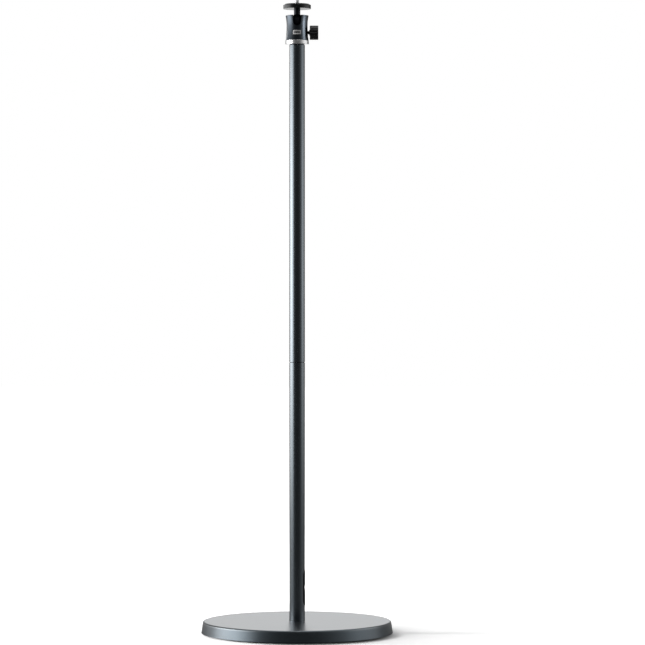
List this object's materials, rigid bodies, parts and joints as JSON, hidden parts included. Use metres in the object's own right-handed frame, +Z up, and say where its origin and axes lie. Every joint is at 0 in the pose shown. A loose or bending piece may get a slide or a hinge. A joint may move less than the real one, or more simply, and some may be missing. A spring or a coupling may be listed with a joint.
{
  "type": "floor stand with ball head",
  "caption": "Slim two-section floor stand on a round weighted base, with a small ball head, a lock knob and a camera screw on top, and a cable duct in the pole.",
  "frame": {"origin": "on the floor, on the pole's axis, at the centre of the foot ring", "axes": "+Z up along the pole, +X towards the lock knob and the lower cable outlet, -Y towards the drop notch of the head"},
  "size_m": [0.27, 0.27, 0.893],
  "materials": {
    "graphite_paint": "smooth satin graphite paint",
    "cast_weight": "rough cast",
    "zinc_sheet": "zinc plated sheet",
    "zinc_steel": "zinc plated",
    "plain_steel": "turned",
    "soft_rubber": "matt fine-grained rubber",
    "black_rubber": "moulded, matt",
    "polished_ring": "turned and polished",
    "dark_anodised": "satin dark grey anodised",
    "black_anodised": "satin black anodised",
    "plate_silver": "plain blank plate",
    "black_steel": "black oxide",
    "clamp_brass": "turned",
    "white_nylon": "moulded",
    "black_plastic": "moulded, fine grain",
    "bright_steel": "rolled thread, bright"
  },
  "bodies": {
    "stand": {"base_cover": "graphite_paint", "base_weight": "cast_weight", "base_bottom_plate": "zinc_sheet", "bottom_plate_screws": "zinc_steel", "foot_ring": "soft_rubber", "pole_bolt": "zinc_steel", "bolt_washer": "zinc_steel", "bolt_spring_washer": "zinc_steel", "pole_foot_plug": "plain_steel", "pole_lower_tube": "graphite_paint", "lower_cable_grommet": "black_rubber", "joint_socket": "plain_steel", "joint_spigot": "black_steel", "pole_upper_tube": "graphite_paint", "upper_cable_grommet": "black_rubber", "pole_top_plug": "black_steel", "head_stud": "zinc_steel", "head_base_ring": "polished_ring"},
    "head": {"head_housing": "dark_anodised", "front_plate": "plate_silver", "head_grub_screws": "black_steel"},
    "ball": {"ball_stem": "black_steel"},
    "platform": {"platform_disc": "black_anodised", "platform_pad": "soft_rubber", "camera_stud": "bright_steel"},
    "brake": {"lock_piston": "clamp_brass", "ball_seat": "white_nylon"},
    "screw": {"lock_screw": "black_steel"},
    "knob": {"lock_knob": "black_plastic"}
  },
  "joints": [
    {"name": "head_pan", "type": "hinge", "parent": "stand", "child": "head", "pos_m": [0, 0, 0.8358], "axis": [0, 0, 1], "continuous": true},
    {"name": "ball_tilt", "type": "hinge", "parent": "head", "child": "ball", "pos_m": [0, 0, 0.8627], "axis": [1, 0, 0], "range_deg": [-25, 90]},
    {"name": "platform_spin", "type": "hinge", "parent": "ball", "child": "platform", "pos_m": [0, 0, 0.8627], "axis": [0, 0, 1], "continuous": true},
    {"name": "screw_travel", "type": "slide", "parent": "head", "child": "screw", "axis": [1, 0, 0], "range_m": [0, 0.0008]},
    {"name": "knob_turn", "type": "hinge", "parent": "screw", "child": "knob", "pos_m": [0.0238, 0, 0.8468], "axis": [1, 0, 0], "range_deg": [0, 360.1]},
    {"name": "brake_lift", "type": "slide", "parent": "head", "child": "brake", "axis": [0, 0, 1], "range_m": [-0.00041, 0]}
  ],
  "couplings": [
    {"joint": "knob_turn", "follows": "screw_travel", "rad_per_m": 7854},
    {"joint": "brake_lift", "follows": "screw_travel", "ratio": -0.5}
  ]
}
